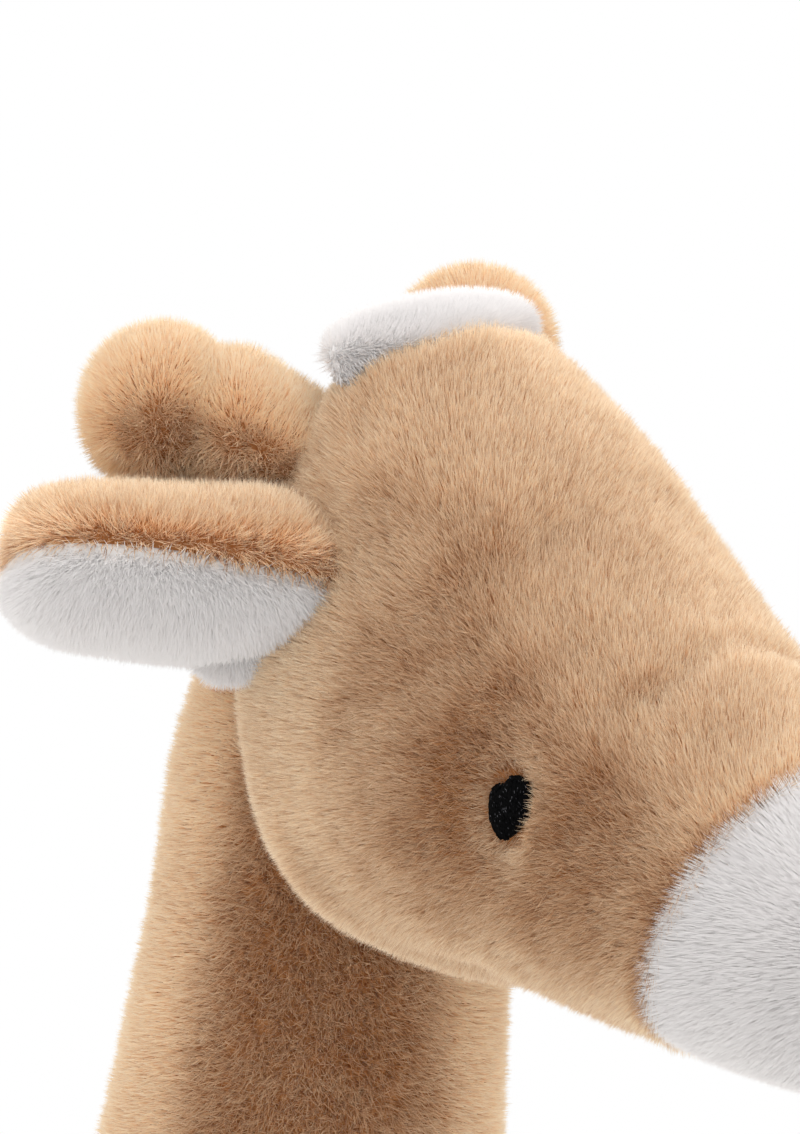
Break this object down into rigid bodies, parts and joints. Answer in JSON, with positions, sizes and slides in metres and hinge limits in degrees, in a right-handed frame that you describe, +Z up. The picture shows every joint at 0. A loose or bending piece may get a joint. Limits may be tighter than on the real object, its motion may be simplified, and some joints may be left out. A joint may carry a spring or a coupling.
{
  "type": "plush giraffe",
  "caption": "Stuffed standing giraffe in long tan plush, with a white muzzle, ear linings, crown puff and hooves, embroidered eyes, and a sewn head, horns, ears, legs and tail that bend.",
  "frame": {"origin": "on the floor under the middle of the toy's box", "axes": "+Z up, the toy faces -Y, its right side is at -X"},
  "size_m": [0.1347, 0.3592, 0.4792],
  "materials": {
    "tan_plush": "matte",
    "white_plush": "matte",
    "black_thread": "satin",
    "fibre_filling": "matte",
    "satin_tape": "satin"
  },
  "bodies": {
    "trunk": {"trunk_cover": "tan_plush", "trunk_filling": "fibre_filling", "neck_cover": "tan_plush", "neck_filling": "fibre_filling", "mane_neck": "white_plush", "care_label": "satin_tape"},
    "head": {"head_cover": "tan_plush", "muzzle_cover": "white_plush", "head_filling": "fibre_filling", "mane_crown": "white_plush", "eye_left": "black_thread", "eye_right": "black_thread"},
    "ossicone_left": {"ossicone_cover_left": "tan_plush", "ossicone_filling_left": "fibre_filling"},
    "ear_left": {"ear_back_left": "tan_plush", "ear_lining_left": "white_plush"},
    "ossicone_right": {"ossicone_cover_right": "tan_plush", "ossicone_filling_right": "fibre_filling"},
    "ear_right": {"ear_back_right": "tan_plush", "ear_lining_right": "white_plush"},
    "leg_front_left": {"leg_cover_front_left": "tan_plush", "hoof_cover_front_left": "white_plush", "leg_filling_front_left": "fibre_filling"},
    "leg_front_right": {"leg_cover_front_right": "tan_plush", "hoof_cover_front_right": "white_plush", "leg_filling_front_right": "fibre_filling"},
    "leg_rear_left": {"leg_cover_rear_left": "tan_plush", "hoof_cover_rear_left": "white_plush", "leg_filling_rear_left": "fibre_filling"},
    "leg_rear_right": {"leg_cover_rear_right": "tan_plush", "hoof_cover_rear_right": "white_plush", "leg_filling_rear_right": "fibre_filling"},
    "tail": {"tail_cord": "tan_plush", "tail_tuft": "white_plush"}
  },
  "joints": [
    {"name": "head_nod", "type": "hinge", "parent": "trunk", "child": "head", "pos_m": [0, -0.03032, 0.402], "axis": [1, 0, 0], "range_deg": [-8, 8], "stiffness_Nm_per_rad": 2},
    {"name": "ossicone_bend_left", "type": "hinge", "parent": "head", "child": "ossicone_left", "pos_m": [0.01462, -0.04511, 0.45668], "axis": [-0.1134, -0.1249, 0.9857], "range_deg": [-14, 14], "stiffness_Nm_per_rad": 0.05},
    {"name": "ear_flap_left", "type": "hinge", "parent": "head", "child": "ear_left", "pos_m": [0.02924, -0.05333, 0.43304], "axis": [-0.8601, 0.5016, -0.093], "range_deg": [-4, 15], "stiffness_Nm_per_rad": 0.05},
    {"name": "ossicone_bend_right", "type": "hinge", "parent": "head", "child": "ossicone_right", "pos_m": [-0.01462, -0.04511, 0.45668], "axis": [0.1134, -0.1249, 0.9857], "range_deg": [-14, 14], "stiffness_Nm_per_rad": 0.05},
    {"name": "ear_flap_right", "type": "hinge", "parent": "head", "child": "ear_right", "pos_m": [-0.02924, -0.05333, 0.43304], "axis": [-0.5462, -0.7218, 0.4251], "range_deg": [-4, 15], "stiffness_Nm_per_rad": 0.05},
    {"name": "leg_swing_front_left", "type": "hinge", "parent": "trunk", "child": "leg_front_left", "pos_m": [0.027, -0.01032, 0.158], "axis": [1, 0, 0], "range_deg": [-10, 10], "stiffness_Nm_per_rad": 2},
    {"name": "leg_swing_front_right", "type": "hinge", "parent": "trunk", "child": "leg_front_right", "pos_m": [-0.027, -0.01032, 0.158], "axis": [1, 0, 0], "range_deg": [-10, 10], "stiffness_Nm_per_rad": 2},
    {"name": "leg_swing_rear_left", "type": "hinge", "parent": "trunk", "child": "leg_rear_left", "pos_m": [0.027, 0.12168, 0.158], "axis": [1, 0, 0], "range_deg": [-10, 10], "stiffness_Nm_per_rad": 2},
    {"name": "leg_swing_rear_right", "type": "hinge", "parent": "trunk", "child": "leg_rear_right", "pos_m": [-0.027, 0.12168, 0.158], "axis": [1, 0, 0], "range_deg": [-10, 10], "stiffness_Nm_per_rad": 2},
    {"name": "tail_swing", "type": "hinge", "parent": "trunk", "child": "tail", "pos_m": [0, 0.15628, 0.232], "axis": [1, 0, 0], "range_deg": [0, 40], "stiffness_Nm_per_rad": 0.01}
  ]
}
